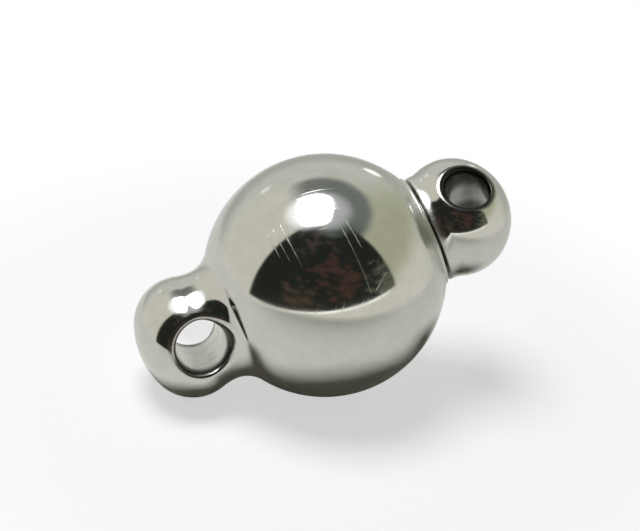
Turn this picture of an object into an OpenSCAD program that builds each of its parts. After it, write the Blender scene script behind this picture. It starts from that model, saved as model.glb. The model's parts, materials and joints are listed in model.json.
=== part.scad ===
// Round magnetic clasp: a polished ball with a drilled loop knob, and a plug
// with a second drilled knob that a pair of magnets holds in the ball's socket.
// All sizes are in millimetres. The clasp lies closed on the ground plane z = 0,
// on its ball and on the ball's own knob, with the plug end raised.

/* [Ball] */
// Diameter of the ball
ball_d = 8; // [7:0.1:10]
// Diameter of the raised rim round the socket
rim_d = 3.78; // [3.4:0.02:4.4]
// Height of the rim above the ball's surface
rim_proud = 0.1; // [0.04:0.01:0.3]
// Radius of the hollow fillet between the ball and its knob
fillet_r = 0.94; // [0.4:0.02:1.4]

/* [Ball knob] */
// Width of the knob on the ball
ball_knob_d = 4.06; // [3.6:0.02:4.6]
// Length from the knob's widest section to its tip
ball_knob_end = 1.64; // [1.5:0.02:1.9]
// How much smaller the shoulder radius is than that length
ball_knob_crown = 0.1; // [0.05:0.01:0.2]
// Depth of the hollow between the ball and its knob, below the knob's width
ball_neck_in = 0.13; // [0.05:0.01:0.3]
// Radius of the hollow between the neck and the knob
ball_neck_r = 1.7; // [0.8:0.05:2.4]
// Diameter of the hole drilled through the knob
ball_hole_d = 1.7; // [1.6:0.05:2.3]
// Distance of the hole from the widest section, towards the ball
ball_hole_back = 0.29; // [0:0.01:0.5]
// Angle of the hole above the level
ball_hole_turn = 18; // [0:1:90]

/* [Plug knob] */
// Width of the knob on the plug
plug_knob_d = 3.94; // [3.5:0.02:4.4]
// Length from the knob's widest section to its tip
plug_knob_end = 1.84; // [1.7:0.02:2]
// How much smaller the shoulder radius is than that length
plug_knob_crown = 0.13; // [0.06:0.01:0.2]
// Depth of the hollow between the plug's base and its knob, below the knob's width
plug_neck_in = 0.155; // [0.05:0.005:0.3]
// Radius of the hollow between the neck and the knob
plug_neck_r = 0.84; // [0.5:0.02:1.4]
// Length from the plug's base face to the middle of the neck
plug_base_h = 0.12; // [0.05:0.01:0.4]
// Diameter of the hole drilled through the knob
plug_hole_d = 1.4; // [1.2:0.05:2]
// Distance of the hole from the widest section, towards the tip
plug_hole_out = 0.52; // [0.2:0.01:0.6]
// Angle of the hole above the level
plug_hole_turn = 61; // [0:1:90]

/* [Socket and magnets] */
// Diameter of the socket bored into the ball
socket_d = 2.9; // [2.6:0.02:3.1]
// Depth of the socket from the rim's face
socket_depth = 4.4; // [4:0.1:5]
// Length of the magnet at the bottom of the socket
ball_magnet_h = 1.8; // [1.2:0.1:2]
// Diameter of the magnet in the plug's spigot
plug_magnet_d = 2.2; // [1.8:0.02:2.3]
// Length of the magnet in the plug's spigot
plug_magnet_h = 1.6; // [1:0.1:1.8]
// Depth of the hollow behind the plug's magnet
plug_hollow_h = 0.8; // [0.1:0.05:0.8]

/* [Clearances] */
// Gap between the ball's rim and the plug's base when closed
rim_gap = 0.1; // [0.04:0.01:0.2]
// Gap between the faces of the two magnets when closed
magnet_gap = 0.06; // [0.02:0.01:0.15]
// Running gap all round the spigot and round the plug's magnet
turn_gap = 0.04; // [0.02:0.01:0.08]
// Glue gap round the ball's magnet
glue_gap = 0.02; // [0.01:0.01:0.05]

/* [Hidden] */
$fn = 96;

// The clasp's own axis is the x axis here, with the ball's centre at the origin
ball_r = ball_d / 2;
rim_r = rim_d / 2;
far = 4 * ball_d;

// A knob is turned from three tangent arcs: hollow neck, shoulder and crown
function shoulder_r(end, crown) = end - crown;
function shoulder_out(d, end, crown) = d / 2 - shoulder_r(end, crown);
function crown_r(d, end, crown) = d / 2 + pow(d / 2 - end, 2) / (2 * crown);
function widest_at(d, end, crown, neck_d, neck_r) =
    sqrt(pow(shoulder_r(end, crown) + neck_r, 2)
         - pow(neck_d / 2 + neck_r - shoulder_out(d, end, crown), 2));

// The fillet touches the ball and is upright at the neck
ball_neck_d = ball_knob_d - 2 * ball_neck_in;
ball_neck_at = sqrt(pow(ball_r + fillet_r, 2) - pow(ball_neck_d / 2 + fillet_r, 2));
ball_knob_at = ball_neck_at
    + widest_at(ball_knob_d, ball_knob_end, ball_knob_crown, ball_neck_d, ball_neck_r);
ball_hole_at = ball_knob_at - ball_hole_back;

rim_at = sqrt(pow(ball_r, 2) - pow(rim_r, 2)) + rim_proud;
plug_base_at = rim_at + rim_gap;
plug_neck_d = plug_knob_d - 2 * plug_neck_in;
plug_neck_at = plug_base_at + plug_base_h;
plug_knob_at = plug_neck_at
    + widest_at(plug_knob_d, plug_knob_end, plug_knob_crown, plug_neck_d, plug_neck_r);
plug_hole_at = plug_knob_at + plug_hole_out;

socket_end = rim_at - socket_depth;
ball_magnet_d = socket_d - 2 * glue_gap;
ball_magnet_at = socket_end + glue_gap;
spigot_d = socket_d - 2 * turn_gap;
spigot_end = ball_magnet_at + ball_magnet_h + magnet_gap;
cup_d = plug_magnet_d + 2 * turn_gap;
cup_depth = plug_magnet_h + plug_hollow_h;

// The clasp leans until its ball and the shoulder of its knob both touch the ground
ball_shoulder_out = shoulder_out(ball_knob_d, ball_knob_end, ball_knob_crown);
lean = asin((ball_r - shoulder_r(ball_knob_end, ball_knob_crown))
            / norm([ball_knob_at, ball_shoulder_out]))
    - atan2(ball_shoulder_out, ball_knob_at);

// How far a leaning knob reaches sideways from the ball's centre
function reach(at, d, end, crown) =
    let (out = shoulder_out(d, end, crown), cap_r = crown_r(d, end, crown))
    lean < atan2(out, cap_r - end)
        ? (at + end - cap_r) * cos(lean) + cap_r
        : at * cos(lean) + out * sin(lean) + shoulder_r(end, crown);

ball_reach = reach(ball_knob_at, ball_knob_d, ball_knob_end, ball_knob_crown);
plug_reach = reach(plug_knob_at, plug_knob_d, plug_knob_end, plug_knob_crown);

module lay_down() {
    translate([(ball_reach - plug_reach) / 2, 0, ball_r])
        rotate([0, -lean, 0])
            children();
}

module quarter(from_y) {
    translate([0, from_y])
        square([far, far]);
}

// Half outline of a knob, with the middle of its neck at y = 0 and its tip above.
// A ray from the crown's centre through the shoulder's centre parts the two arcs.
module knob_outline(d, end, crown, neck_d, neck_r) {
    at = widest_at(d, end, crown, neck_d, neck_r);
    out = shoulder_out(d, end, crown);
    cap_r = crown_r(d, end, crown);
    cap_at = at + end - cap_r;
    neck_out = neck_d / 2 + neck_r;
    ray = far / norm([out, cap_r - end]);
    ray_end = [ray * out, cap_at + ray * (cap_r - end)];
    intersection() {
        translate([0, cap_at])
            circle(r = cap_r);
        polygon([[0, cap_at], ray_end, [0, cap_at + far]]);
    }
    intersection() {
        translate([out, at])
            circle(r = shoulder_r(end, crown));
        polygon([[0, cap_at], ray_end, [far, -far], [0, -far]]);
    }
    difference() {
        polygon([[0, 0], [neck_out, 0], [out, at], [0, at]]);
        translate([neck_out, 0])
            circle(r = neck_r);
    }
}

// Hole across a knob, turned up from the level about the clasp's axis
module cross_hole(at, d, turn) {
    translate([at, 0, 0])
        rotate([90 - turn, 0, 0])
            cylinder(h = ball_d, d = d, center = true);
}

module ball_outline() {
    fillet_out = ball_neck_d / 2 + fillet_r;
    intersection() {
        circle(r = ball_r);
        quarter(-rim_at);
    }
    translate([0, -rim_at])
        square([rim_r, rim_at]);
    difference() {
        polygon([[0, 0], [fillet_out, ball_neck_at], [0, ball_neck_at]]);
        translate([fillet_out, ball_neck_at])
            circle(r = fillet_r);
    }
    translate([0, ball_neck_at])
        knob_outline(ball_knob_d, ball_knob_end, ball_knob_crown, ball_neck_d, ball_neck_r);
}

module plug_outline() {
    intersection() {
        translate([0, plug_neck_at])
            knob_outline(plug_knob_d, plug_knob_end, plug_knob_crown, plug_neck_d, plug_neck_r);
        quarter(plug_base_at);
    }
    translate([0, plug_base_at])
        square([plug_neck_d / 2, plug_base_h]);
    translate([0, spigot_end])
        square([spigot_d / 2, plug_neck_at - spigot_end]);
}

module ball_with_knob() {
    color("gainsboro")
        lay_down()
            difference() {
                rotate([0, -90, 0])
                    rotate_extrude()
                        ball_outline();
                translate([socket_end, 0, 0])
                    rotate([0, 90, 0])
                        cylinder(h = far, d = socket_d);
                cross_hole(-ball_hole_at, ball_hole_d, ball_hole_turn);
            }
}

module ball_magnet() {
    color("silver")
        lay_down()
            translate([ball_magnet_at, 0, 0])
                rotate([0, 90, 0])
                    cylinder(h = ball_magnet_h, d = ball_magnet_d);
}

module plug_with_knob() {
    color("lightgray")
        lay_down()
            difference() {
                rotate([0, 90, 0])
                    rotate_extrude()
                        plug_outline();
                translate([spigot_end - ball_d, 0, 0])
                    rotate([0, 90, 0])
                        cylinder(h = ball_d + cup_depth, d = cup_d);
                cross_hole(plug_hole_at, plug_hole_d, plug_hole_turn);
            }
}

module plug_magnet() {
    color("darkgray")
        lay_down()
            translate([spigot_end, 0, 0])
                rotate([0, 90, 0])
                    cylinder(h = plug_magnet_h, d = plug_magnet_d);
}

ball_with_knob();
ball_magnet();
plug_with_knob();
plug_magnet();
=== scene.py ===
"""Looks of a round magnetic clasp: a polished ball with a drilled loop knob, and a plug with a second
drilled knob. All lengths are in metres. A turned piece is worked out in its own plane: along is measured
on the clasp's axis from the ball's centre towards that piece's knob, and out is measured from the axis."""

import json
import math

import bpy
import numpy as np
from mathutils import Matrix, Vector
from mathutils.geometry import delaunay_2d_cdt


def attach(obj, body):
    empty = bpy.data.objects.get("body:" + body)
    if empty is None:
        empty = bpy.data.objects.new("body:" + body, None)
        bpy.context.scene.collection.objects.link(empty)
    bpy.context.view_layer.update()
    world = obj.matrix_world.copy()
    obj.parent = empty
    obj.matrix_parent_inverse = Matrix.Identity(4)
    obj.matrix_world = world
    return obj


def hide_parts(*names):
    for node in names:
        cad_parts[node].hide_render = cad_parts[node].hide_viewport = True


MM = 0.001

# Driving sizes of the ball half
BALL_R = 4.0 * MM
RIM_R = 1.89 * MM
RIM_PROUD = 0.1 * MM
FILLET_R = 0.94 * MM
BALL_KNOB_R = 2.03 * MM
BALL_KNOB_END = 1.64 * MM
BALL_KNOB_CROWN = 0.1 * MM
BALL_NECK_IN = 0.13 * MM
BALL_NECK_HOLLOW = 1.7 * MM
SOCKET_R = 1.45 * MM
SOCKET_DEPTH = 4.4 * MM

# Driving sizes of the plug half
PLUG_KNOB_R = 1.97 * MM
PLUG_KNOB_END = 1.84 * MM
PLUG_KNOB_CROWN = 0.13 * MM
PLUG_NECK_IN = 0.155 * MM
PLUG_NECK_HOLLOW = 0.84 * MM
PLUG_BASE_H = 0.12 * MM
RIM_GAP = 0.1 * MM
CUP_R = 1.14 * MM
CUP_DEPTH = 2.4 * MM
SPIGOT_R = 1.41 * MM

# Driving sizes of the two disc magnets
BALL_DISC_R = 1.43 * MM
BALL_DISC_H = 1.8 * MM
PLUG_DISC_R = 1.1 * MM
PLUG_DISC_H = 1.6 * MM
GLUE_GAP = 0.02 * MM
MAGNET_GAP = 0.06 * MM

# Edges that the polishing has rounded
RIM_ROUND = 0.035 * MM
RIM_FOOT_ROUND = 0.03 * MM
RIM_LIP_ROUND = 0.08 * MM
BASE_ROUND = 0.05 * MM
SPIGOT_ROUND = 0.12 * MM
BALL_MOUTH_ROUND = 0.34 * MM
PLUG_MOUTH_ROUND = 0.29 * MM
MAGNET_ROUND = 0.08 * MM
MOUTH_DEPTH = 1.25

# How finely the turned pieces are cut
SIDES = 192
STEP = 0.09 * MM
BEND_STEP = 0.22
FINE = 0.004 * MM
SAME_POINT = 0.02 * FINE
MOUTH_SIDES = 144
MAGNET_SIDES = 128
MOUTH_ROUND_STEPS = 18
WALL_STEPS = 28
MOUTH_MARGIN = 0.45 * STEP
SEAM = -math.pi / 2
FLAT_SCALE = 1 / MM
FLAT_MERGE = 1e-7

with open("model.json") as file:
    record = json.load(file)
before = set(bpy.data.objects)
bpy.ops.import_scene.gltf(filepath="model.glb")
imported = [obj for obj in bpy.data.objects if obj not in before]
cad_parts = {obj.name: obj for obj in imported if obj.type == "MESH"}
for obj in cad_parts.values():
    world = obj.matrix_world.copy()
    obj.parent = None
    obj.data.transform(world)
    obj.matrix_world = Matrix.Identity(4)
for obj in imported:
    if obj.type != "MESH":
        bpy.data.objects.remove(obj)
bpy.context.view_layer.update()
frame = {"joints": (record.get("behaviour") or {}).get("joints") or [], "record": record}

joint = next(j for j in frame["joints"] if j["name"] == "swivel")
CENTRE = Vector(joint["pos_m"])
AXIS = Vector(joint["axis"]).normalized()


def mount(name):
    """Middle, direction and radius of a drilled hole, from the record."""
    found = next(m for m in frame["record"]["mounts"] if m["name"] == name)
    return Vector(found["pos_m"]), Vector(found["axis"]).normalized(), found["dims"]["r_mm"] * MM


# Outlines. A stretch is an array of rows: along, out, and the direction of travel there


def arc(along, out, radius, start, end):
    """Circular stretch round (along, out), from one angle to another, in radians."""
    count = max(2, int(abs(end - start) * radius / FINE))
    turn = np.linspace(start, end, count)
    way = math.copysign(1.0, end - start)
    return np.c_[
        along + radius * np.cos(turn),
        out + radius * np.sin(turn),
        -way * np.sin(turn),
        way * np.cos(turn),
    ]


def straight(start, end):
    """Straight stretch between two points."""
    start, end = np.array(start, float), np.array(end, float)
    length = np.linalg.norm(end - start)
    share = np.linspace(0, 1, max(2, int(length / FINE)))[:, None]
    way = (end - start) / length
    return np.c_[start + share * (end - start), np.tile(way, (len(share), 1))]


def joined(*stretches):
    """Stretches one after another. Between two of them stands the radius that rounds their corner."""
    path = stretches[0]
    for corner, stretch in zip(stretches[1::2], stretches[2::2], strict=True):
        if corner:
            path, stretch, bend = rounded(path, stretch, corner)
            path = np.r_[path, bend]
        path = np.r_[path, stretch]
    gap = np.linalg.norm(np.diff(path[:, :2], axis=0), axis=1)
    return path[np.r_[True, gap > SAME_POINT]]


def rounded(before, after, radius):
    """Cuts two stretches back from their shared corner and gives the arc that joins them."""
    corner, way_in, way_out = before[-1, :2], before[-1, 2:], after[0, 2:]
    cross = way_in[0] * way_out[1] - way_in[1] * way_out[0]
    bend = math.atan2(cross, float(way_in @ way_out))
    back = radius * math.tan(abs(bend) / 2)
    before = before[np.linalg.norm(before[:, :2] - corner, axis=1) > back]
    after = after[np.linalg.norm(after[:, :2] - corner, axis=1) > back]
    side = math.copysign(1.0, bend)
    centre = corner - back * way_in + side * radius * np.array([-way_in[1], way_in[0]])
    start = math.atan2(-side * way_in[0], side * way_in[1])
    return before, after, arc(*centre, radius, start, start + bend)


def shoulder(knob_r, end, crown):
    """Radius of a knob's shoulder arc, and how far its centre is from the axis."""
    return end - crown, knob_r - (end - crown)


def knob_outline(at, knob_r, end, crown, neck_at, neck_r, hollow):
    """Tip, crown, shoulder and hollow of a knob whose widest section is at along = at."""
    radius, out = shoulder(knob_r, end, crown)
    crown_r = knob_r + (knob_r - end) ** 2 / (2 * crown)
    crown_at = at + end - crown_r
    parting = math.atan2(out, at - crown_at)
    neck_out = neck_r + hollow
    foot = math.atan2(neck_out - out, neck_at - at)
    return np.r_[
        arc(crown_at, 0, crown_r, 0, parting),
        arc(at, out, radius, parting, foot)[1:],
        arc(neck_at, neck_out, hollow, foot - math.pi, -math.pi / 2)[1:],
    ]


def widest_at(knob_r, end, crown, neck_r, hollow):
    """How far a knob's widest section lies past the middle of its neck."""
    radius, out = shoulder(knob_r, end, crown)
    return math.sqrt((radius + hollow) ** 2 - (neck_r + hollow - out) ** 2)


# Places along the axis
BALL_NECK_R = BALL_KNOB_R - BALL_NECK_IN
BALL_NECK_AT = math.sqrt((BALL_R + FILLET_R) ** 2 - (BALL_NECK_R + FILLET_R) ** 2)
BALL_KNOB_AT = BALL_NECK_AT + widest_at(
    BALL_KNOB_R, BALL_KNOB_END, BALL_KNOB_CROWN, BALL_NECK_R, BALL_NECK_HOLLOW
)
RIM_ROOT = math.sqrt(BALL_R**2 - RIM_R**2)
RIM_AT = RIM_ROOT + RIM_PROUD
SOCKET_END = RIM_AT - SOCKET_DEPTH
BALL_DISC_AT = SOCKET_END + GLUE_GAP
SPIGOT_END = BALL_DISC_AT + BALL_DISC_H + MAGNET_GAP
PLUG_BASE_AT = RIM_AT + RIM_GAP
PLUG_NECK_AT = PLUG_BASE_AT + PLUG_BASE_H
PLUG_NECK_R = PLUG_KNOB_R - PLUG_NECK_IN
PLUG_KNOB_AT = PLUG_NECK_AT + widest_at(
    PLUG_KNOB_R, PLUG_KNOB_END, PLUG_KNOB_CROWN, PLUG_NECK_R, PLUG_NECK_HOLLOW
)


def ball_outline():
    """From the tip of the ball's knob over the ball and the rim to the bottom of the socket."""
    fillet_out = BALL_NECK_R + FILLET_R
    leaves = math.atan2(fillet_out, BALL_NECK_AT)
    ball_end = math.atan2(RIM_R, -RIM_ROOT)
    smooth = np.r_[
        knob_outline(
            BALL_KNOB_AT,
            BALL_KNOB_R,
            BALL_KNOB_END,
            BALL_KNOB_CROWN,
            BALL_NECK_AT,
            BALL_NECK_R,
            BALL_NECK_HOLLOW,
        ),
        arc(BALL_NECK_AT, fillet_out, FILLET_R, -math.pi / 2, leaves - math.pi)[1:],
        arc(0, 0, BALL_R, leaves, ball_end)[1:],
    ]
    return joined(
        smooth,
        RIM_FOOT_ROUND,
        straight((-RIM_ROOT, RIM_R), (-RIM_AT, RIM_R)),
        RIM_LIP_ROUND,
        straight((-RIM_AT, RIM_R), (-RIM_AT, SOCKET_R)),
        RIM_ROUND,
        straight((-RIM_AT, SOCKET_R), (-SOCKET_END, SOCKET_R)),
        RIM_ROUND,
        straight((-SOCKET_END, SOCKET_R), (-SOCKET_END, 0)),
    )


def plug_outline():
    """From the tip of the plug's knob over its base and spigot to the bottom of its cup."""
    return joined(
        knob_outline(
            PLUG_KNOB_AT,
            PLUG_KNOB_R,
            PLUG_KNOB_END,
            PLUG_KNOB_CROWN,
            PLUG_NECK_AT,
            PLUG_NECK_R,
            PLUG_NECK_HOLLOW,
        ),
        0,
        straight((PLUG_NECK_AT, PLUG_NECK_R), (PLUG_BASE_AT, PLUG_NECK_R)),
        BASE_ROUND,
        straight((PLUG_BASE_AT, PLUG_NECK_R), (PLUG_BASE_AT, SPIGOT_R)),
        RIM_ROUND,
        straight((PLUG_BASE_AT, SPIGOT_R), (SPIGOT_END, SPIGOT_R)),
        SPIGOT_ROUND,
        straight((SPIGOT_END, SPIGOT_R), (SPIGOT_END, CUP_R)),
        RIM_ROUND,
        straight((SPIGOT_END, CUP_R), (SPIGOT_END + CUP_DEPTH, CUP_R)),
        RIM_ROUND,
        straight((SPIGOT_END + CUP_DEPTH, CUP_R), (SPIGOT_END + CUP_DEPTH, 0)),
    )


# Finishes of a piece's faces, by the number of their material
PLATED, DRILLED, TURNED = 0, 1, 2


class Outline:
    """A turned piece's outline, to be read by the length travelled on it."""

    def __init__(self, rows):
        self.rows = rows
        step = np.linalg.norm(np.diff(rows[:, :2], axis=0), axis=1)
        self.travel = np.r_[0, np.cumsum(step)]
        self.length = self.travel[-1]

    def at(self, travel):
        """Along, out, and the outward direction, at each length travelled."""
        along, out, way_along, way_out = (
            np.interp(travel, self.travel, self.rows[:, k]) for k in range(4)
        )
        size = np.hypot(way_along, way_out)
        return along, out, way_out / size, -way_along / size

    def travel_at(self, along):
        """Length travelled to a place on the knob, where along only falls."""
        fall = np.searchsorted(-self.rows[:, 0], -along)
        span = slice(max(0, fall.min() - 2), fall.max() + 2)
        return np.interp(-along, -self.rows[span, 0], self.travel[span])

    def nearest(self, along, out):
        """Length travelled to the corner nearest to a point."""
        off = np.hypot(self.rows[:, 0] - along, self.rows[:, 1] - out)
        return float(self.travel[off.argmin()])

    def stations(self, start, end):
        """Lengths from start to end, closer together where the outline bends tightly."""
        inside = (self.travel > start) & (self.travel < end)
        travel = np.r_[start, self.travel[inside], end]
        _, _, way_along, way_out = self.at(travel)
        turn = np.hypot(np.diff(way_along), np.diff(way_out))
        cost = np.r_[0, np.cumsum(np.diff(travel) / STEP + turn / BEND_STEP)]
        count = max(2, int(math.ceil(cost[-1])) + 1)
        return np.interp(np.linspace(0, cost[-1], count), cost, travel)


class Turned:
    """Collects the corners and faces of a turned piece, which may have one hole drilled across its knob.
    Its three directions are the axis, the hole's own way across, and level, which is square to both."""

    def __init__(self, side, knob_r=0.0, hole=None, mouth_round=0.0):
        self.axis = AXIS * side
        self.across = Vector((0, -1, 0))
        self.knob_r = knob_r
        if hole:
            middle, self.across, self.hole_r = hole
            self.mouth_r = self.hole_r + mouth_round
            self.hole_at = (middle - CENTRE).dot(self.axis)
        self.level = self.across.cross(self.axis)
        self.places = []
        self.normals = []
        self.faces = []
        self.finishes = []

    def add(self, along, level, across, normal):
        """Adds corners and returns their numbers. The normal is given as along, level and across."""
        basis = np.array([self.axis, self.level, self.across])
        first = sum(len(p) for p in self.places)
        shape = np.shape(along)
        local = np.stack([np.ravel(x) for x in (along, level, across)], 1)
        self.places.append(local @ basis + np.array(CENTRE))
        turned = np.stack([np.ravel(np.broadcast_to(x, shape)) for x in normal], 1)
        turned = turned / np.linalg.norm(turned, axis=1)[:, None]
        self.normals.append(turned @ basis)
        return first + np.arange(local.shape[0]).reshape(shape)

    def rings(self, outline, travel, turns):
        """Rings of corners round the axis, one row for each length travelled."""
        along, out, normal_along, normal_out = (x[:, None] for x in outline.at(travel))
        level, across = np.sin(turns)[None, :], np.cos(turns)[None, :]
        return self.add(
            along + 0 * level,
            out * level,
            out * across,
            (normal_along + 0 * level, normal_out * level, normal_out * across),
        )

    def cover(self, faces, finish=PLATED):
        """Adds faces, each a list of corner numbers, in one finish."""
        self.faces.extend(faces)
        self.finishes.extend([finish] * len(faces))

    def skin(self, rings, finish=PLATED):
        """Faces between neighbouring rings that each close on themselves."""
        ahead = np.roll(rings, -1, axis=1)
        quads = np.stack([rings[:-1], ahead[:-1], ahead[1:], rings[1:]], -1)
        self.cover(quads.reshape(-1, 4).tolist(), finish)

    def cap(self, outline, travel, ring, flip, finish=PLATED):
        """A fan of faces between a ring and the point where the outline meets the axis."""
        along, _, normal_along, _ = (float(x) for x in outline.at(travel))
        pole = int(self.add(np.array([along]), [0.0], [0.0], (normal_along, 0.0, 0.0))[0])
        pairs = zip(ring.tolist(), np.roll(ring, -1).tolist(), strict=True)
        self.cover([[b, a, pole] if flip else [a, b, pole] for a, b in pairs], finish)

    def hole(self, outline):
        """The drilled wall with its two rounded mouths. Returns the outer corners of each mouth.
        A mouth is rounded from the knob's surface at mouth_r down to the wall at hole_r."""
        turn = np.linspace(0, 2 * math.pi, MOUTH_SIDES, endpoint=False)
        cos, sin = np.cos(turn), np.sin(turn)
        along = self.hole_at + self.mouth_r * cos
        level = self.mouth_r * sin
        _, out, normal_along, normal_out = outline.at(outline.travel_at(along))
        height = np.sqrt(out**2 - level**2)
        normal_level, normal_across = normal_out * level / out, normal_out * height / out
        wall_along = self.hole_at + self.hole_r * cos
        wall_level = self.hole_r * sin
        slip = normal_along * (wall_along - along) + normal_level * (wall_level - level)
        corner = height - slip / normal_across
        edge = np.stack([along, level, height], 1)
        knee = np.stack([wall_along, wall_level, corner], 1)
        wall_top = knee.copy()
        wall_top[:, 2] -= MOUTH_DEPTH * np.linalg.norm(edge - knee, axis=1)
        share = np.linspace(0, 1, MOUTH_ROUND_STEPS + 1)[:, None, None]
        bend = (1 - share) ** 2 * wall_top + 2 * share * (1 - share) * knee + share**2 * edge
        up = 2 * (1 - share) * (knee - wall_top) + 2 * share * (edge - knee)
        round_way = (np.roll(bend, -1, axis=1) - np.roll(bend, 1, axis=1)) / 2
        normal = np.cross(up, round_way)
        normal /= np.linalg.norm(normal, axis=2)[:, :, None]
        normal[-1] = np.stack([normal_along, normal_level, normal_across], 1)
        normal[0] = np.stack([-cos, -sin, 0 * cos], 1)
        mouths, tops = [], []
        for side in (1, -1):
            flip = np.array([1, 1, side])
            rows = self.add(*np.moveaxis(bend * flip, -1, 0), np.moveaxis(normal * flip, -1, 0))
            self.skin(rows[:, ::-1] if side > 0 else rows, DRILLED)
            mouths.append(rows[-1])
            tops.append(rows[0])
        share = np.linspace(0, 1, WALL_STEPS + 1)[1:-1, None]
        across = wall_top[:, 2] * (1 - 2 * share)
        middle = self.add(
            wall_along + 0 * across,
            wall_level + 0 * across,
            across,
            (-cos + 0 * across, -sin + 0 * across, 0 * across),
        )
        self.skin(np.vstack([tops[0][None], middle, tops[1][None]]), DRILLED)
        return mouths

    def drilled_band(self, outline, travel, first_ring, last_ring, mouths):
        """The knob's skin between two rings, with the two mouths left open. It is cut open at the seam,
        laid out flat by the length travelled and the turn round the axis, and filled with triangles."""
        turns = SEAM + np.linspace(0, 2 * math.pi, SIDES + 1)
        rows = self.rings(outline, travel[1:-1], turns[:-1])
        table = np.vstack([first_ring[None], rows, last_ring[None]])
        table = np.c_[table, table[:, 0]]
        along, out, _, _ = outline.at(travel)
        flat, numbers, edges = [], [], []
        for i, length in enumerate(travel):
            from_hole = np.hypot(along[i] - self.hole_at, out[i] * np.sin(turns))
            for k in np.flatnonzero(from_hole >= self.mouth_r + MOUTH_MARGIN):
                flat.append((length, turns[k] * self.knob_r))
                numbers.append(int(table[i, k]))
        places = self.all_places() - np.array(CENTRE)
        for mouth in mouths:
            turn = np.arctan2(places[mouth] @ self.level, places[mouth] @ self.across)
            turn = np.where(turn < SEAM, turn + 2 * math.pi, turn)
            length = outline.travel_at(places[mouth] @ self.axis)
            start, count = len(flat), len(mouth)
            flat.extend(zip(length.tolist(), (turn * self.knob_r).tolist(), strict=True))
            numbers.extend(int(n) for n in mouth)
            edges.extend((start + k, start + (k + 1) % count) for k in range(count))
        points = [Vector((x * FLAT_SCALE, y * FLAT_SCALE)) for x, y in flat]
        _, _, triangles, origin, _, _ = delaunay_2d_cdt(points, edges, [], 0, FLAT_MERGE)
        numbers = [numbers[o[0]] for o in origin]
        on_mouths = {int(n) for mouth in mouths for n in mouth}
        for triangle in triangles:
            corners = [numbers[t] for t in triangle]
            middle = places[corners].mean(axis=0)
            off = math.hypot(float(middle @ self.axis) - self.hole_at, float(middle @ self.level))
            over_mouth = off < self.mouth_r and all(c in on_mouths for c in corners)
            if not over_mouth and len(set(corners)) == 3:
                self.cover([corners[::-1]])

    def all_places(self):
        """Every corner added so far, one row each."""
        return np.vstack(self.places)

    def made(self, name):
        """The finished mesh object, shaded smooth with its exact normals."""
        used = np.unique([corner for face in self.faces for corner in face])
        place = np.full(used.max() + 1, -1)
        place[used] = np.arange(len(used))
        faces = [[int(place[corner]) for corner in face] for face in self.faces]
        mesh = bpy.data.meshes.new(name)
        mesh.from_pydata(self.all_places()[used].tolist(), [], faces)
        mesh.polygons.foreach_set("material_index", self.finishes)
        mesh.validate()
        mesh.shade_smooth()
        mesh.normals_split_custom_set_from_vertices(np.vstack(self.normals)[used].tolist())
        piece = bpy.data.objects.new(name, mesh)
        bpy.context.scene.collection.objects.link(piece)
        return piece


def turned_piece(name, side, hole, mouth_round, rows, knob_r, band, inside_from):
    """A turned and drilled piece. The band is the stretch of the knob round the hole.
    The outline is left as turned, without plating, from the place inside_from."""
    outline = Outline(rows)
    piece = Turned(side, knob_r, hole, mouth_round)
    turns = SEAM + np.linspace(0, 2 * math.pi, SIDES, endpoint=False)
    band_start, band_end = (float(outline.travel_at(np.array([x]))[0]) for x in band)
    inside = outline.nearest(*inside_from)
    tip = outline.stations(0, band_start)[1:]
    shown = outline.stations(band_end, inside)
    hidden = outline.stations(inside, outline.length)[:-1]
    tip_rings = piece.rings(outline, tip, turns)
    shown_rings = piece.rings(outline, shown, turns)
    hidden_rings = np.vstack([shown_rings[-1:], piece.rings(outline, hidden[1:], turns)])
    piece.cap(outline, 0.0, tip_rings[0], True)
    piece.skin(tip_rings)
    mouths = piece.hole(outline)
    count = max(3, int((band_end - band_start) / STEP) + 1)
    travel = np.linspace(band_start, band_end, count)
    piece.drilled_band(outline, travel, tip_rings[-1], shown_rings[0], mouths)
    piece.skin(shown_rings)
    piece.skin(hidden_rings, TURNED)
    piece.cap(outline, outline.length, hidden_rings[-1], False, TURNED)
    return piece.made(name)


def magnet_piece(name, low, high, radius):
    """A disc magnet between two places on the clasp's axis, with its edges rounded by its plating."""
    outline = Outline(
        joined(
            straight((high, 0), (high, radius)),
            MAGNET_ROUND,
            straight((high, radius), (low, radius)),
            MAGNET_ROUND,
            straight((low, radius), (low, 0)),
        )
    )
    piece = Turned(1)
    turns = np.linspace(0, 2 * math.pi, MAGNET_SIDES, endpoint=False)
    rings = piece.rings(outline, outline.stations(0, outline.length)[1:-1], turns)
    piece.cap(outline, 0.0, rings[0], True)
    piece.skin(rings)
    piece.cap(outline, outline.length, rings[-1], False)
    return piece.made(name)


# Finishes

# Colours of the metals
PLATING = (0.75, 0.745, 0.715)
PLATING_DULL = (0.70, 0.70, 0.66)
PIT_FLOOR = (0.1, 0.09, 0.08)
BALL_BORE = (0.74, 0.735, 0.69)
# Painted shade: the plug's bore is given a darker colour than the ball's
PLUG_BORE_SHADED = (0.33, 0.33, 0.305)
# Near-black painted shade inside the mouths of the drilled holes
HOLE_PAINTED_SHADE = (0.045, 0.045, 0.038)
# Unplated turned metal, darkened as painted shade so that the gap between the rim and the plug looks dark
BARE_AND_GAP_SHADE = (0.36, 0.35, 0.32)
MAGNET_PLATE = (0.6, 0.6, 0.58)

# Roughness of the plating, and what each kind of wear adds to it
PLATING_ROUGH = (0.06, 0.11)
WIPES_ROUGHER = 0.07
SCRATCHES_ROUGHER = 0.3
PITS_ROUGHER = 0.4
UNREACHED_ROUGHER = 0.28
UNREACHED = (0.5 * MM, 0.2 * MM)

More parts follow.
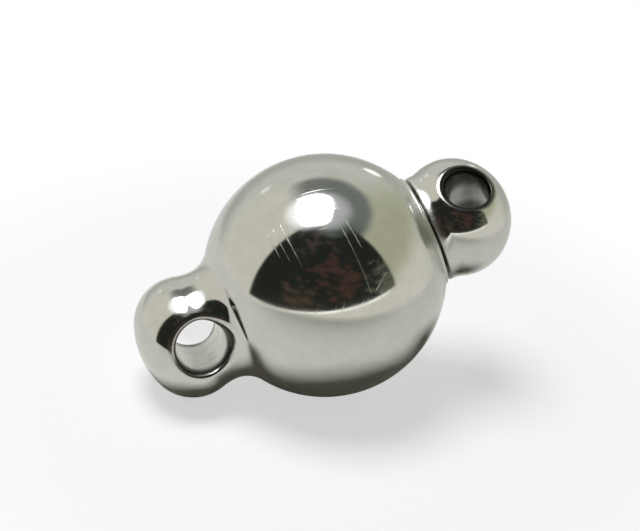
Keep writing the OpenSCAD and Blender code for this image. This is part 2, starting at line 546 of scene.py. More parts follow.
# Sizes of the plating's marks, how high or deep they are, and the noise values between which they start
HAZE_PATCH = 1.4 * MM
HAZE_BAND = (0.3, 0.75)
MOTTLE_PATCH = 0.5 * MM
MOTTLE_BAND = (0.35, 0.7)
MOTTLE_HEIGHT = 0.00035 * MM
WAVE_LENGTH = 1.9 * MM
WAVE_HEIGHT = 0.00304 * MM
WIPE_DEPTH = 0.0006 * MM
PIT_DEPTH = 0.01 * MM
SCRATCH_DEPTH = 0.002 * MM
SCRATCH_WOBBLE = 0.35 * MM
THINNEST_MARK = 0.0001 * MM
PLATING_PITS = {"spacing": 0.9 * MM, "size": 0.075, "share": 0.16}
PIT_DARKNESS = 0.85

# Turned metal and drilled walls. A stain leaves a share of the colour
STAIN_PATCH = 0.6 * MM
STAIN_BAND = (0.4, 0.7)
TURNED_STAIN = 0.6
BORE_STAIN = 0.8
RING_SPREAD = (0.7, 1.3)
DRILL_PITCH = 0.07 * MM
DRILL_DEPTH = 0.003 * MM
BORE_ROUGH = (0.16, 0.3)
MOUTH_ROUGH = 0.09
# Painted shade in the drilled holes: the roughness it adds, the size of its patches, and how far its edge
# wanders
HOLE_SHADE_ROUGHER = 0.12
HOLE_SHADE_PATCH = 0.5 * MM
HOLE_SHADE_UNEVEN = 0.4 * MM
# Where the painted shade in each hole begins and where it is full, by distance from the hole's middle, and
# how far out on the mouths it reaches
BALL_HOLE_SHADE = {"unshaded_to": 1.25 * MM, "full_at": 1.75 * MM, "reach": 0.15}
PLUG_HOLE_SHADE = {"unshaded_to": 0.4 * MM, "full_at": 1.15 * MM, "reach": 0.58}

# Directions of the wipe marks, with their spacing, length and share
WIPES = (
    ((0.3, 0.5, 0.2), 0.05 * MM, 2.6 * MM, 0.22),
    ((1.2, 0.3, 1.1), 0.04 * MM, 1.8 * MM, 0.16),
    ((0.4, 1.4, 0.6), 0.06 * MM, 3.4 * MM, 0.18),
)

# Start and end of each scratch on the ball, in millimetres from its centre, and its width
BALL_SCRATCHES = (
    ((-2.284, -1.485, 2.929), (-1.921, -2.705, 2.234), 0.09),
    ((-2.654, -1.523, 2.577), (-2.447, -2.296, 2.177), 0.06),
    ((-2.50, -1.47, 2.75), (-2.20, -2.52, 2.20), 0.04),
    ((-0.584, -2.28, 3.234), (0.221, -3.712, 1.473), 0.08),
    ((-0.42, -2.10, 3.37), (0.02, -2.95, 2.70), 0.05),
    ((0.75, -3.35, 2.05), (0.35, -3.65, 1.55), 0.06),
    ((1.2, 2.9, 2.5), (2.3, 2.4, 2.2), 0.04),
)


def wired(tree, kind, inputs, **settings):
    """Adds a node with these settings. Each input is linked or set, by its name or number."""
    node = tree.nodes.new(kind)
    for name, value in settings.items():
        setattr(node, name, value)
    for name, value in inputs.items():
        if isinstance(value, bpy.types.NodeSocket):
            tree.links.new(value, node.inputs[name])
        else:
            node.inputs[name].default_value = value
    return node


def maths(tree, operation, *values):
    """The result of a sum, product or other operation on values."""
    return wired(tree, "ShaderNodeMath", dict(enumerate(values)), operation=operation).outputs[0]


def vectors(tree, operation, *values):
    """The result of an operation on vectors: a number for a dot product or a length, or else a vector."""
    node = wired(tree, "ShaderNodeVectorMath", dict(enumerate(values)), operation=operation)
    return node.outputs["Value" if operation in ("DOT_PRODUCT", "LENGTH") else "Vector"]


def rise(tree, value, low, high):
    """Goes smoothly from 0 at low to 1 at high. Low may be the larger value."""
    return wired(
        tree,
        "ShaderNodeMapRange",
        {"Value": value, "From Min": low, "From Max": high},
        interpolation_type="SMOOTHSTEP",
    ).outputs["Result"]


def spread(tree, value, low, high):
    """Turns a share of 0 to 1 into a value from low to high."""
    return wired(
        tree, "ShaderNodeMapRange", {"Value": value, "To Min": low, "To Max": high}
    ).outputs["Result"]


def mixed(tree, share, low, high):
    """Colour low where the share is 0, and high where it is 1."""
    return wired(
        tree, "ShaderNodeMix", {"Factor": share, 6: low, 7: high}, data_type="RGBA"
    ).outputs[2]


def noise(tree, place, scale, detail, roughness=0.5):
    """Soft random values from 0 to 1, in patches of about 1 / scale."""
    return wired(
        tree,
        "ShaderNodeTexNoise",
        {"Vector": place, "Scale": scale, "Detail": detail, "Roughness": roughness},
    ).outputs["Fac"]


def new_group(name, inputs, outputs):
    """An empty effect group. Inputs are name, kind and default; outputs are name and kind."""
    group = bpy.data.node_groups.new(name, "ShaderNodeTree")
    for label, kind, default in inputs:
        socket = group.interface.new_socket(label, in_out="INPUT", socket_type=kind)
        if default is not None:
            socket.default_value = default
    for label, kind in outputs:
        group.interface.new_socket(label, in_out="OUTPUT", socket_type=kind)
    return group, group.nodes.new("NodeGroupInput").outputs, group.nodes.new("NodeGroupOutput").inputs


def placed(tree, group, **values):
    """Puts an effect group into a material with its own values."""
    node = tree.nodes.new("ShaderNodeGroup")
    node.node_tree = group
    for name, value in values.items():
        label = name.replace("_", " ").title()
        if isinstance(value, bpy.types.NodeSocket):
            tree.links.new(value, node.inputs[label])
        else:
            node.inputs[label].default_value = value
    return node.outputs


def wipe_mark_group():
    """Fine straight marks from wiping and handling: long thin dashes along one turned plane."""
    group, given, out = new_group(
        "wipe_marks",
        [
            ("Place", "NodeSocketVector", None),
            ("Turn", "NodeSocketVector", (0, 0, 0)),
            ("Spacing", "NodeSocketFloat", 0.05 * MM),
            ("Length", "NodeSocketFloat", 1.2 * MM),
            ("Share", "NodeSocketFloat", 0.2),
        ],
        [("Mark", "NodeSocketFloat")],
    )
    turned = wired(
        group,
        "ShaderNodeVectorRotate",
        {"Vector": given["Place"], "Rotation": given["Turn"]},
        rotation_type="EULER_XYZ",
    ).outputs["Vector"]
    scale = wired(
        group,
        "ShaderNodeCombineXYZ",
        {
            "X": maths(group, "DIVIDE", 1.0, given["Length"]),
            "Y": maths(group, "DIVIDE", 1.0, given["Spacing"]),
            "Z": maths(group, "DIVIDE", 0.7, given["Length"]),
        },
    ).outputs[0]
    dashes = noise(group, vectors(group, "MULTIPLY", turned, scale), 1.0, 1.5, 0.4)
    marked_from = maths(group, "SUBTRACT", 0.76, maths(group, "MULTIPLY", given["Share"], 0.5))
    mark = rise(group, dashes, marked_from, maths(group, "ADD", marked_from, 0.12))
    group.links.new(mark, out["Mark"])
    return group


def scratch_group():
    """One scratch the shortest way between two points of the ball, thinning out at both ends."""
    group, given, out = new_group(
        "scratch",
        [
            ("Place", "NodeSocketVector", None),
            ("Start", "NodeSocketVector", (0, 0, 0)),
            ("End", "NodeSocketVector", (0, 0, MM)),
            ("Centre", "NodeSocketVector", (0, 0, 0)),
            ("Width", "NodeSocketFloat", 0.03 * MM),
        ],
        [("Mark", "NodeSocketFloat")],
    )
    whole = vectors(group, "SUBTRACT", given["End"], given["Start"])
    part = vectors(group, "SUBTRACT", given["Place"], given["Start"])
    share = maths(
        group,
        "DIVIDE",
        vectors(group, "DOT_PRODUCT", part, whole),
        vectors(group, "DOT_PRODUCT", whole, whole),
    )
    out_start = vectors(group, "SUBTRACT", given["Start"], given["Centre"])
    out_end = vectors(group, "SUBTRACT", given["End"], given["Centre"])
    out_here = vectors(group, "SUBTRACT", given["Place"], given["Centre"])
    across = vectors(group, "NORMALIZE", vectors(group, "CROSS_PRODUCT", out_start, out_end))
    off = maths(group, "ABSOLUTE", vectors(group, "DOT_PRODUCT", out_here, across))
    this_side = maths(group, "GREATER_THAN", vectors(group, "DOT_PRODUCT", out_here, out_start), 0.0)
    ends = maths(group, "MULTIPLY", rise(group, share, 0.0, 0.15), rise(group, share, 1.0, 0.75))
    ends = maths(group, "MULTIPLY", ends, this_side)
    wobble = noise(group, given["Place"], 1 / SCRATCH_WOBBLE, 2.0)
    half = maths(group, "MULTIPLY", given["Width"], maths(group, "MULTIPLY", ends, wobble))
    half = maths(group, "MAXIMUM", half, THINNEST_MARK)
    mark = maths(group, "SUBTRACT", 1.0, maths(group, "DIVIDE", off, half))
    group.links.new(maths(group, "MAXIMUM", mark, 0.0), out["Mark"])
    return group


def pit_group():
    """Scattered round pits in the plating."""
    group, given, out = new_group(
        "pits",
        [
            ("Place", "NodeSocketVector", None),
            ("Spacing", "NodeSocketFloat", 0.5 * MM),
            ("Size", "NodeSocketFloat", 0.1),
            ("Share", "NodeSocketFloat", 0.3),
        ],
        [("Pit", "NodeSocketFloat")],
    )
    cells = wired(
        group,
        "ShaderNodeTexVoronoi",
        {"Vector": given["Place"], "Scale": maths(group, "DIVIDE", 1.0, given["Spacing"])},
    ).outputs
    chosen = maths(
        group,
        "LESS_THAN",
        wired(group, "ShaderNodeSeparateColor", {"Color": cells["Color"]}).outputs[0],
        given["Share"],
    )
    pit = rise(group, cells["Distance"], given["Size"], maths(group, "MULTIPLY", given["Size"], 0.3))
    group.links.new(maths(group, "MULTIPLY", pit, chosen), out["Pit"])
    return group


def lathe_group():
    """Rings left by turning or drilling, along one direction."""
    group, given, out = new_group(
        "tool_rings",
        [
            ("Place", "NodeSocketVector", None),
            ("Direction", "NodeSocketVector", (0, 0, 1)),
            ("Pitch", "NodeSocketFloat", 0.05 * MM),
        ],
        [("Ring", "NodeSocketFloat")],
    )
    along = vectors(group, "DOT_PRODUCT", given["Place"], given["Direction"])
    ring = wired(
        group,
        "ShaderNodeTexNoise",
        {"W": maths(group, "DIVIDE", along, given["Pitch"]), "Scale": 1.0, "Detail": 2.0},
        noise_dimensions="1D",
    ).outputs["Fac"]
    group.links.new(ring, out["Ring"])
    return group


def hole_shade_group():
    """Painted shade inside the two mouths of a drilled hole, on the wall and the inner rounding. Outer
    tells how far out on a mouth's rounding a place is, from 0 at the wall's radius to 1 at the mouth's
    edge."""
    group, given, out = new_group(
        "painted_hole_shade",
        [
            ("Place", "NodeSocketVector", None),
            ("Middle", "NodeSocketVector", (0, 0, 0)),
            ("Direction", "NodeSocketVector", (0, 0, 1)),
            ("Unshaded To", "NodeSocketFloat", 0.8 * MM),
            ("Full At", "NodeSocketFloat", 1.3 * MM),
            ("Wall", "NodeSocketFloat", 0.8 * MM),
            ("Mouth", "NodeSocketFloat", 1.1 * MM),
            ("Reach", "NodeSocketFloat", 0.4),
        ],
        [("Share", "NodeSocketFloat"), ("Outer", "NodeSocketFloat")],
    )
    part = vectors(group, "SUBTRACT", given["Place"], given["Middle"])
    depth = maths(group, "ABSOLUTE", vectors(group, "DOT_PRODUCT", part, given["Direction"]))
    from_axis = vectors(group, "LENGTH", vectors(group, "CROSS_PRODUCT", part, given["Direction"]))
    outer = maths(
        group,
        "DIVIDE",
        maths(group, "SUBTRACT", from_axis, given["Wall"]),
        maths(group, "SUBTRACT", given["Mouth"], given["Wall"]),
    )
    uneven = noise(group, given["Place"], 1 / HOLE_SHADE_PATCH, 4.0, 0.6)
    depth = maths(group, "ADD", depth, maths(group, "MULTIPLY", uneven, HOLE_SHADE_UNEVEN))
    # Painted shade, growing towards the mouths
    mouth_shade = rise(group, depth, given["Unshaded To"], given["Full At"])
    ragged = maths(group, "ADD", outer, maths(group, "MULTIPLY", uneven, 0.3))
    unshaded_from = maths(group, "ADD", given["Reach"], 0.6)
    share = maths(group, "MULTIPLY", mouth_shade, rise(group, ragged, unshaded_from, given["Reach"]))
    group.links.new(share, out["Share"])
    group.links.new(rise(group, outer, 0.1, 0.9), out["Outer"])
    return group


def new_material(name, colour, metallic=1.0):
    """A material, its shader, and the place on the piece where it is seen."""
    material = bpy.data.materials.new(name)
    material.use_nodes = True
    tree = material.node_tree
    shader = tree.nodes["Principled BSDF"]
    shader.inputs["Base Color"].default_value = (*colour, 1)
    shader.inputs["Metallic"].default_value = metallic
    place = tree.nodes.new("ShaderNodeTexCoord").outputs["Object"]
    return material, tree, shader, place


def bumped(tree, shader, *layers):
    """Joins height layers, each a value and its depth in metres, into the shader's normal."""
    normal = None
    for height, depth in layers:
        bump = wired(tree, "ShaderNodeBump", {"Height": height, "Distance": depth})
        if normal:
            tree.links.new(normal, bump.inputs["Normal"])
        normal = bump.outputs["Normal"]
    tree.links.new(normal, shader.inputs["Normal"])


def plating(name, scratches, seed):
    """Bright plating over polished brass, with wipe marks, a soft haze and a few pits.
    It is duller near the foot of the rim, where a polishing wheel doesn't reach."""
    material, tree, shader, place = new_material(name, PLATING)
    moved = vectors(tree, "ADD", place, seed)
    wipes = [
        placed(
            tree, wipe_marks, place=moved, turn=turn, spacing=spacing, length=length, share=share
        )["Mark"]
        for turn, spacing, length, share in WIPES
    ]
    fine = wipes[0]
    for wipe in wipes[1:]:
        fine = maths(tree, "MAXIMUM", fine, wipe)
    deep = None
    for start, end, width in scratches:
        mark = placed(
            tree,
            scratch,
            place=place,
            start=CENTRE + Vector(start) * MM,
            end=CENTRE + Vector(end) * MM,
            centre=CENTRE,
            width=width * MM,
        )["Mark"]
        deep = maths(tree, "MAXIMUM", deep, mark) if deep else mark
    pit = placed(tree, pits, place=moved, **PLATING_PITS)["Pit"]
    haze = noise(tree, moved, 1 / HAZE_PATCH, 4.0, 0.6)
    mottle = noise(tree, moved, 1 / MOTTLE_PATCH, 5.0, 0.65)
    rough = spread(tree, rise(tree, haze, *HAZE_BAND), *PLATING_ROUGH)
    rough = maths(tree, "ADD", rough, maths(tree, "MULTIPLY", fine, WIPES_ROUGHER))
    along = vectors(tree, "DOT_PRODUCT", vectors(tree, "SUBTRACT", place, CENTRE), AXIS)
    from_rim = maths(tree, "ABSOLUTE", maths(tree, "SUBTRACT", along, RIM_ROOT))
    unreached = rise(tree, from_rim, *UNREACHED)
    rough = maths(tree, "ADD", rough, maths(tree, "MULTIPLY", unreached, UNREACHED_ROUGHER))
    tone = mixed(tree, rise(tree, mottle, *MOTTLE_BAND), (*PLATING, 1), (*PLATING_DULL, 1))
    tone = mixed(tree, maths(tree, "MULTIPLY", pit, PIT_DARKNESS), tone, (*PIT_FLOOR, 1))
    if deep:
        rough = maths(tree, "ADD", rough, maths(tree, "MULTIPLY", deep, SCRATCHES_ROUGHER))
    rough = maths(tree, "ADD", rough, maths(tree, "MULTIPLY", pit, PITS_ROUGHER))
    tree.links.new(rough, shader.inputs["Roughness"])
    tree.links.new(tone, shader.inputs["Base Color"])
    layers = [
        (noise(tree, moved, 1 / WAVE_LENGTH, 1.0), WAVE_HEIGHT),
        (mottle, MOTTLE_HEIGHT),
        (maths(tree, "SUBTRACT", 1.0, fine), WIPE_DEPTH),
        (maths(tree, "SUBTRACT", 1.0, pit), PIT_DEPTH),
    ]
    if deep:
        layers.append((maths(tree, "SUBTRACT", 1.0, deep), SCRATCH_DEPTH))
    bumped(tree, shader, *layers)
    return material


def tooled(name, colour, roughness, direction, pitch, depth):
    """Metal as the tool left it, ringed along one direction, and duller than the plating."""
    material, tree, shader, place = new_material(name, colour)
    ring = placed(tree, tool_rings, place=place, direction=direction, pitch=pitch)["Ring"]
    stain = noise(tree, place, 1 / STAIN_PATCH, 4.0, 0.6)
    dark = tuple(TURNED_STAIN * c for c in colour)
    tone = mixed(tree, rise(tree, stain, *STAIN_BAND), (*colour, 1), (*dark, 1))
    tree.links.new(tone, shader.inputs["Base Color"])
    rough = spread(tree, ring, *(roughness * share for share in RING_SPREAD))
    tree.links.new(rough, shader.inputs["Roughness"])
    bumped(tree, shader, (ring, depth))
    return material


def bore(name, hole, mouth_round, colour, left):
    """The wall of a drilled hole: drill rings, painted shade inside its mouths, and plating at their
    edges.
    Left tells where the painted shade is: the distance from the hole's middle where it begins and where it
    is full, and how far out it reaches."""
    middle, direction, radius = hole
    material, tree, shader, place = new_material(name, colour)
    ring = placed(tree, tool_rings, place=place, direction=direction, pitch=DRILL_PITCH)["Ring"]
    marks = placed(
        tree,
        painted_hole_shade,
        place=place,
        middle=middle,
        direction=direction,
        wall=radius,
        mouth=radius + mouth_round,
        **left,
    )
    share, outer = marks["Share"], marks["Outer"]
    stain = noise(tree, place, 1 / STAIN_PATCH, 4.0, 0.6)
    dull = tuple(BORE_STAIN * c for c in colour)
    tone = mixed(tree, rise(tree, stain, *STAIN_BAND), (*colour, 1), (*dull, 1))
    tone = mixed(tree, outer, tone, (*PLATING, 1))
    # Painted shade: the wall and inner mouth go near black
    tree.links.new(mixed(tree, share, tone, (*HOLE_PAINTED_SHADE, 1)), shader.inputs["Base Color"])
    rough = mixed(tree, outer, spread(tree, ring, *BORE_ROUGH), (MOUTH_ROUGH,) * 3 + (1,))
    rough = maths(tree, "ADD", rough, maths(tree, "MULTIPLY", share, HOLE_SHADE_ROUGHER))
    tree.links.new(rough, shader.inputs["Roughness"])
    bumped(tree, shader, (ring, DRILL_DEPTH))
    return material


wipe_marks = wipe_mark_group()
scratch = scratch_group()
pits = pit_group()
tool_rings = lathe_group()
# Painted shade inside the mouths of the drilled holes
painted_hole_shade = hole_shade_group()

ball_hole = mount("ball_knob_hole")
plug_hole = mount("plug_knob_hole")
ball_plated = plating("ball_plating", BALL_SCRATCHES, Vector((0, 0, 0)))
plug_plated = plating("plug_plating", (), Vector((3.1, 1.7, 0.4)) * MM)
ball_bore = bore("ball_bore", ball_hole, BALL_MOUTH_ROUND, BALL_BORE, BALL_HOLE_SHADE)
plug_bore = bore("plug_bore", plug_hole, PLUG_MOUTH_ROUND, PLUG_BORE_SHADED, PLUG_HOLE_SHADE)
# Turned metal of the socket and spigot: its dull colour is partly its own and partly painted shade for the
# gap between the halves
turned_metal_gap_shade = tooled(
    "turned_metal_gap_shade", BARE_AND_GAP_SHADE, roughness=0.3, direction=AXIS, pitch=0.03 * MM, depth=0.004 * MM
)
disc_plated = tooled(
    "magnet_plating",
    MAGNET_PLATE,
    roughness=0.22,
    direction=(0, 1, 0),
    pitch=0.04 * MM,
    depth=0.001 * MM,
)

# Where the knob's skin is cut open for its hole, and where the plating ends
BALL_BAND = (BALL_KNOB_AT + 0.95 * MM, 3.42 * MM)
PLUG_BAND = (PLUG_KNOB_AT + 1.56 * MM, PLUG_NECK_AT + 0.02 * MM)
BALL_BARE_FROM = (-RIM_AT + 0.12 * MM, SOCKET_R)
PLUG_BARE_FROM = (PLUG_BASE_AT, SPIGOT_R + 0.08 * MM)

ball_shell = turned_piece(
    "ball_shell",
    -1,
    ball_hole,
    BALL_MOUTH_ROUND,
    ball_outline(),
    BALL_KNOB_R,
    BALL_BAND,
    BALL_BARE_FROM,
)
plug_shell = turned_piece(
    "plug_shell",
    1,
    plug_hole,
    PLUG_MOUTH_ROUND,
    plug_outline(),
    PLUG_KNOB_R,
    PLUG_BAND,
    PLUG_BARE_FROM,
)
ball_disc = magnet_piece("ball_disc", BALL_DISC_AT, BALL_DISC_AT + BALL_DISC_H, BALL_DISC_R)
plug_disc = magnet_piece("plug_disc", SPIGOT_END, SPIGOT_END + PLUG_DISC_H, PLUG_DISC_R)

ball_finishes = (ball_plated, ball_bore, turned_metal_gap_shade)
plug_finishes = (plug_plated, plug_bore, turned_metal_gap_shade)
for piece, body, node, slot, finishes in (
    (ball_shell, "ball_half", "ball_with_knob", "ball_plating", ball_finishes),
    (plug_shell, "plug_half", "plug_with_knob", "plug_plating", plug_finishes),
    (ball_disc, "ball_half", "ball_magnet", "magnet", (disc_plated,)),
    (plug_disc, "plug_core", "plug_magnet", "magnet", (disc_plated,)),
):
    for finish in finishes:
        piece.data.materials.append(finish)
    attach(piece, body)
    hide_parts(node)

# Camera

VIEW_AZIMUTH = math.radians(-20.97)
VIEW_ELEVATION = math.radians(30)
VIEW_ROLL = math.radians(7.1)
LENS = 129.375
NEAREST_SEEN = 1 * MM
FARTHEST_SEEN = 2.0
BALL_IN_VIEW = Vector((0.1552, -0.3184, -75.608)) * MM

front = Vector((math.sin(VIEW_AZIMUTH), -math.cos(VIEW_AZIMUTH), 0))
side = Vector((math.cos(VIEW_AZIMUTH), math.sin(VIEW_AZIMUTH), 0))


def add_camera():
    """The photograph's camera: a long lens, held a little out of level."""
    toward = front * math.cos(VIEW_ELEVATION) + Vector((0, 0, math.sin(VIEW_ELEVATION)))
    level_up = toward.cross(side)
    right = side * math.cos(VIEW_ROLL) + level_up * math.sin(VIEW_ROLL)
    turn = Matrix((right, toward.cross(right), toward)).transposed()
    data = bpy.data.cameras.new("camera")
    data.lens = LENS
    data.clip_start = NEAREST_SEEN
    data.clip_end = FARTHEST_SEEN
    camera = bpy.data.objects.new("camera", data)
    bpy.context.scene.collection.objects.link(camera)
    camera.matrix_world = Matrix.Translation(CENTRE - turn @ BALL_IN_VIEW) @ turn.to_4x4()
    bpy.context.scene.camera = camera


# Surroundings: a white tent with an open front, and a soft light let in at its top


def toward(right, above):
    """Direction in degrees to the right of the open front, and in degrees above the level."""
    right, above = math.radians(right), math.radians(above)
    level = side * math.sin(right) + front * math.cos(right)
    return level * math.cos(above) + Vector((0, 0, math.sin(above)))


# The tent's floor ends in front where a direction's height over this tilted level is HORIZON_AT
HORIZON = Vector((-0.1974, -0.0083, 0.9803))
HORIZON_AT = 0.0084

# The dark opening, between a left and a right edge that lean
OPEN_LEFT = math.radians(68)
OPEN_RIGHT = math.radians(74)
LEFT_LEAN = 0.073
RIGHT_LEAN = 0.10
OPEN_EDGE = (-0.02, 0.03)
OPEN_TOP = (0.975, 0.9)
OPEN_FOOT = (HORIZON_AT - 0.012, HORIZON_AT + 0.008)
OPEN_MARGIN = 0.05

# The tent's colours
BACKDROP = (1.0, 1.0, 1.0, 1)
LEFT_WALL = (0.68, 0.67, 0.60, 1)
RIGHT_WALL = (0.44, 0.45, 0.32, 1)
BACK_WALL = (0.61, 0.625, 0.58, 1)
LOW_WALL = (0.80, 0.78, 0.68, 1)
CEILING = (0.50, 0.52, 0.53, 1)
RING_RIGHT = (0.185, 0.20, 0.19, 1)
RING_FRONT = (0.10, 0.12, 0.105, 1)
TENT_FLOOR = (0.70, 0.69, 0.63, 1)
TENT_FLOOR_BEHIND = (0.44, 0.46, 0.42, 1)
FRONT_EDGE = (1.3, 1.3, 1.2, 1)
OPENING = (0.018, 0.021, 0.017, 1)
GLOW = (1.2, 1.24, 1.26, 1)
DIFFUSE_SHARE = 0.09

# Where one colour goes over into the next: across to the right, ahead to the open front, or above
LEFT_TO_RIGHT = (-0.45, 0.75)
LOW_ACROSS = (0.0, 0.5)
LOW_ABOVE = (0.22, -0.05)
BACK_AHEAD = (-0.4, -0.9)
BACK_ACROSS = (0.6, 0.2)
RING_TURN = (-0.1, 0.35)
RING_START = (-0.58, -0.30)
FLOOR_TURN = (-0.3, -0.85)
FLOOR_ABOVE = (0.30, -0.06)
EDGE_ABOVE = (HORIZON_AT - 0.05, HORIZON_AT - 0.03)
EDGE_ACROSS = (-0.75, 0.1)
EDGE_AHEAD = (0.3, 0.6)

# The grey ceiling, the darker ring round it and the glow by the light: degrees of core and fade
RING_WAY = Vector((-0.13, 0.105, 0.986)).normalized()
RING_CONE = (36, 45)
CEILING_WAY = (RING_WAY + 0.06 * side).normalized()
CEILING_CONE = (12, 25)
GLOW_WAY = Vector((-0.31, 0.16, 0.935)).normalized()
GLOW_CONE = (9, 21)

# Ragged lighter patches in the dark opening: degrees right, degrees above, core, fade, colour
WANDER_STRETCH = (1, 1, 3.2)
WANDER_SCALE = 5.0
WANDER_REACH = (0.6, 0.6, 0.5)
IN_THE_DARK = (
    (19, 24, 0, 15, (0.068, 0.039, 0.029, 1)),
    (4, 38, 0, 11, (0.062, 0.037, 0.03, 1)),
    (-22, 2, 0, 17, (0.072, 0.053, 0.037, 1)),
    (67, 15, 5, 17, (0.115, 0.12, 0.09, 1)),
    (-28, 64, 0, 9, (0.06, 0.045, 0.04, 1)),
)

# Small bright spots behind, in the same terms
SPOTS = (
    (167, 13.5, 0.5, 4.5, (1.9, 1.9, 1.8, 1)),
    (-139, 22, 0.5, 4.0, (1.0, 1.0, 0.96, 1)),
)

# The soft light over the tent
LIGHT_AWAY = 150 * MM
LIGHT_WAY = Vector((-0.206, 0.139, 0.969)).normalized()
LIGHT_SIZE = (78 * MM, 92 * MM)
LIGHT_RADIANCE = 11.0
LIGHT_COLOUR = (0.97, 0.98, 1.0)
LIGHT_SQUARENESS = 3.4
LIGHT_FADE = (1.0, 0.45)


def cone(tree, way, direction, full, none):
    """1 within so many degrees of a direction, falling smoothly to 0."""
    near = vectors(tree, "DOT_PRODUCT", way, direction)
    return rise(tree, near, math.cos(math.radians(none)), math.cos(math.radians(full)))


def both(tree, *shares):
    """The product of two or more shares."""
    product = shares[0]
    for share in shares[1:]:
        product = maths(tree, "MULTIPLY", product, share)
    return product


def add_world():
    """The tent as a soft background, white where the camera looks past the clasp."""
    world = bpy.data.worlds.new("tent")
    world.use_nodes = True
    bpy.context.scene.world = world
    tree = world.node_tree
    way = tree.nodes.new("ShaderNodeTexCoord").outputs["Generated"]
    across = vectors(tree, "DOT_PRODUCT", way, side)
    ahead = vectors(tree, "DOT_PRODUCT", way, front)
    above = vectors(tree, "DOT_PRODUCT", way, (0, 0, 1))

    colour = mixed(tree, rise(tree, across, *LEFT_TO_RIGHT), LEFT_WALL, RIGHT_WALL)
    low_right = both(tree, rise(tree, across, *LOW_ACROSS), rise(tree, above, *LOW_ABOVE))
    colour = mixed(tree, low_right, colour, LOW_WALL)
    behind = both(tree, rise(tree, ahead, *BACK_AHEAD), rise(tree, across, *BACK_ACROSS))
    colour = mixed(tree, behind, colour, BACK_WALL)

    ring_colour = mixed(tree, rise(tree, ahead, *RING_TURN), RING_RIGHT, RING_FRONT)
    ring = both(tree, cone(tree, way, RING_WAY, *RING_CONE), rise(tree, across, *RING_START))
    colour = mixed(tree, ring, colour, ring_colour)
    colour = mixed(tree, cone(tree, way, CEILING_WAY, *CEILING_CONE), colour, CEILING)

    level = vectors(tree, "DOT_PRODUCT", way, HORIZON)
    floor_colour = mixed(tree, rise(tree, ahead, *FLOOR_TURN), TENT_FLOOR, TENT_FLOOR_BEHIND)
    colour = mixed(tree, rise(tree, level, *FLOOR_ABOVE), colour, floor_colour)
    edge = both(
        tree,
        rise(tree, level, *EDGE_ABOVE),
        rise(tree, across, *EDGE_ACROSS),
        rise(tree, ahead, *EDGE_AHEAD),
    )
    colour = mixed(tree, edge, colour, FRONT_EDGE)

    left_edge = vectors(
        tree,
        "DOT_PRODUCT",
        way,
        side * math.cos(OPEN_LEFT) + front * math.sin(OPEN_LEFT) - Vector((0, 0, LEFT_LEAN)),
    )
    right_edge = vectors(
        tree,
        "DOT_PRODUCT",
        way,
        front * math.sin(OPEN_RIGHT) - side * math.cos(OPEN_RIGHT) - Vector((0, 0, RIGHT_LEAN)),
    )
    opening = both(
        tree,
        rise(tree, left_edge, *OPEN_EDGE),
        rise(tree, right_edge, *OPEN_EDGE),
        rise(tree, above, *OPEN_TOP),
        rise(tree, level, *OPEN_FOOT),
    )
    wander = wired(
        tree,
        "ShaderNodeTexNoise",
        {
            "Vector": vectors(tree, "MULTIPLY", way, WANDER_STRETCH),
            "Scale": WANDER_SCALE,
            "Detail": 5.0,
            "Roughness": 0.65,
        },
    ).outputs["Color"]
    wander = vectors(tree, "SUBTRACT", wander, (0.5, 0.5, 0.5))
    wandered = vectors(tree, "ADD", way, vectors(tree, "MULTIPLY", wander, WANDER_REACH))
    dark = OPENING
    for right, up, core, fade, tone in IN_THE_DARK:
        dark = mixed(tree, cone(tree, wandered, toward(right, up), core, fade), dark, tone)
    colour = mixed(tree, opening, colour, dark)
    colour = mixed(tree, cone(tree, way, GLOW_WAY, *GLOW_CONE), colour, GLOW)
    for right, up, core, fade, tone in SPOTS:
        colour = mixed(tree, cone(tree, way, toward(right, up), core, fade), colour, tone)

    rays = tree.nodes.new("ShaderNodeLightPath").outputs
    dimmed = vectors(tree, "MULTIPLY", colour, (DIFFUSE_SHARE,) * 3)
    colour = mixed(tree, rays["Is Diffuse Ray"], colour, dimmed)
    colour = mixed(tree, rays["Is Camera Ray"], colour, BACKDROP)
    tree.links.new(colour, tree.nodes["Background"].inputs["Color"])


def add_light():
    """The soft light over the tent, aimed at the ball and fading towards its edges."""
    data = bpy.data.lights.new("top_light", "AREA")
    data.shape = "RECTANGLE"
    data.size, data.size_y = LIGHT_SIZE
    data.energy = LIGHT_RADIANCE * math.pi * LIGHT_SIZE[0] * LIGHT_SIZE[1]
    data.color = LIGHT_COLOUR
    data.use_nodes = True
    tree = data.node_tree
    place = tree.nodes.new("ShaderNodeNewGeometry").outputs["Parametric"]
    middle = vectors(tree, "SUBTRACT", place, (0.5, 0.5, 0))
    flat = vectors(tree, "MULTIPLY", middle, (2, 2, 0))
    parts = wired(tree, "ShaderNodeSeparateXYZ", {"Vector": flat}).outputs
    off_x, off_y = (
        maths(tree, "POWER", maths(tree, "ABSOLUTE", parts[k]), LIGHT_SQUARENESS) for k in (0, 1)
    )
    strength = rise(tree, maths(tree, "ADD", off_x, off_y), *LIGHT_FADE)
    tree.links.new(strength, tree.nodes["Emission"].inputs["Strength"])
    light = bpy.data.objects.new("top_light", data)
    bpy.context.scene.collection.objects.link(light)
    upward = LIGHT_WAY.cross(side).normalized()
    turn = Matrix((upward.cross(LIGHT_WAY), upward, LIGHT_WAY)).transposed()
    light.matrix_world = Matrix.Translation(CENTRE + LIGHT_WAY * LIGHT_AWAY) @ turn.to_4x4()


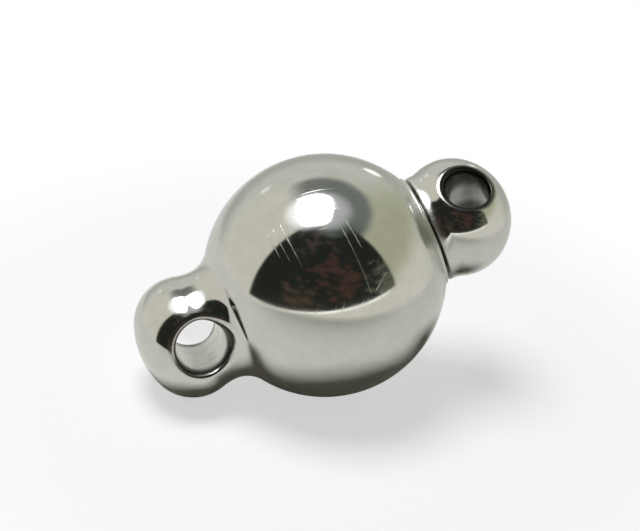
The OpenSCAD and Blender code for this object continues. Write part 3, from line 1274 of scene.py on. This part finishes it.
# The paper floor. The metal shows its own colours, and the camera sees it pale, with a soft shadow
FLOOR_R = 46 * MM
FLOOR_SIDES = 180
PAPER = (0.86, 0.85, 0.80, 1)
FAR_PAPER = (0.58, 0.585, 0.52, 1)
FAR_PAPER_AT = (6 * MM, 22 * MM)
PAPER_ROUGHNESS = 0.95
PAPER_SHINE = 0.1
PAPER_SEEN = (0.45, 0.45, 0.45, 1)
PAPER_GLOW = 0.58
PAPER_FADE = (44 * MM, 20 * MM)
SEEN_FADE = (9 * MM, 20 * MM)

# The spot of the floor that is seen through the hole in the ball's knob, a little darker
SHADED_AT = Vector((-2.9, 3.4, 0)) * MM
SHADED_FADE = (1.7 * MM, 0.6 * MM)
SHADED_SEEN = (0.38, 0.38, 0.36, 1)
SHADED_GLOW = 0.46


def floor_radius(direction):
    """How far the paper reaches in a level direction. In the open front it ends on the tilted level
    HORIZON, where the metal shows its light front edge, and elsewhere it is a plain disc."""
    lean = math.atan2(-HORIZON.dot(direction), HORIZON.z)
    fall = math.asin(HORIZON_AT / math.hypot(HORIZON.dot(direction), HORIZON.z)) + lean
    in_front = math.atan2(direction.dot(side), direction.dot(front))
    open_here = -OPEN_LEFT - OPEN_MARGIN < in_front < OPEN_RIGHT
    if not open_here or fall > -CENTRE.z / FLOOR_R:
        return FLOOR_R
    return min(FLOOR_R, CENTRE.z / math.tan(-fall))


def paper_material():
    """Pale paper. The camera sees it partly glowing, so that shadows on it stay soft and pale."""
    paper = bpy.data.materials.new("paper")
    paper.use_nodes = True
    tree = paper.node_tree
    shader = tree.nodes["Principled BSDF"]
    shader.inputs["Roughness"].default_value = PAPER_ROUGHNESS
    shader.inputs["Specular IOR Level"].default_value = PAPER_SHINE
    shader.inputs["Emission Color"].default_value = (1, 1, 1, 1)
    seen = tree.nodes.new("ShaderNodeLightPath").outputs["Is Camera Ray"]
    place = tree.nodes.new("ShaderNodeTexCoord").outputs["Object"]

    from_spot = vectors(tree, "LENGTH", vectors(tree, "SUBTRACT", place, SHADED_AT))
    shade = rise(tree, from_spot, *SHADED_FADE)
    seen_tone = mixed(tree, shade, PAPER_SEEN, SHADED_SEEN)
    out_in_front = vectors(tree, "DOT_PRODUCT", vectors(tree, "SUBTRACT", place, CENTRE), front)
    paper_tone = mixed(tree, rise(tree, out_in_front, *FAR_PAPER_AT), PAPER, FAR_PAPER)
    tree.links.new(mixed(tree, seen, paper_tone, seen_tone), shader.inputs["Base Color"])
    glow = maths(tree, "MULTIPLY", seen, spread(tree, shade, PAPER_GLOW, SHADED_GLOW))
    tree.links.new(glow, shader.inputs["Emission Strength"])

    under_ball = (CENTRE.x, CENTRE.y, 0)
    from_ball = vectors(tree, "LENGTH", vectors(tree, "SUBTRACT", place, under_ball))
    there = rise(tree, from_ball, *PAPER_FADE)
    unseen = maths(tree, "MULTIPLY", seen, rise(tree, from_ball, *SEEN_FADE))
    alpha = maths(tree, "MINIMUM", there, maths(tree, "SUBTRACT", 1.0, unseen))
    tree.links.new(alpha, shader.inputs["Alpha"])
    return paper


def add_floor():
    """The paper floor under the clasp, fading out into the white."""
    under_ball = Vector((CENTRE.x, CENTRE.y, 0))
    corners = []
    for turn in np.linspace(0, 2 * math.pi, FLOOR_SIDES, endpoint=False):
        direction = Vector((math.cos(turn), math.sin(turn), 0))
        corners.append(direction * floor_radius(direction) + under_ball)
    mesh = bpy.data.meshes.new("paper_floor")
    mesh.from_pydata(corners, [], [list(range(FLOOR_SIDES))])
    mesh.materials.append(paper_material())
    floor = bpy.data.objects.new("paper_floor", mesh)
    bpy.context.scene.collection.objects.link(floor)


add_camera()
add_world()
add_light()
add_floor()
bpy.context.scene.view_settings.view_transform = "Standard"
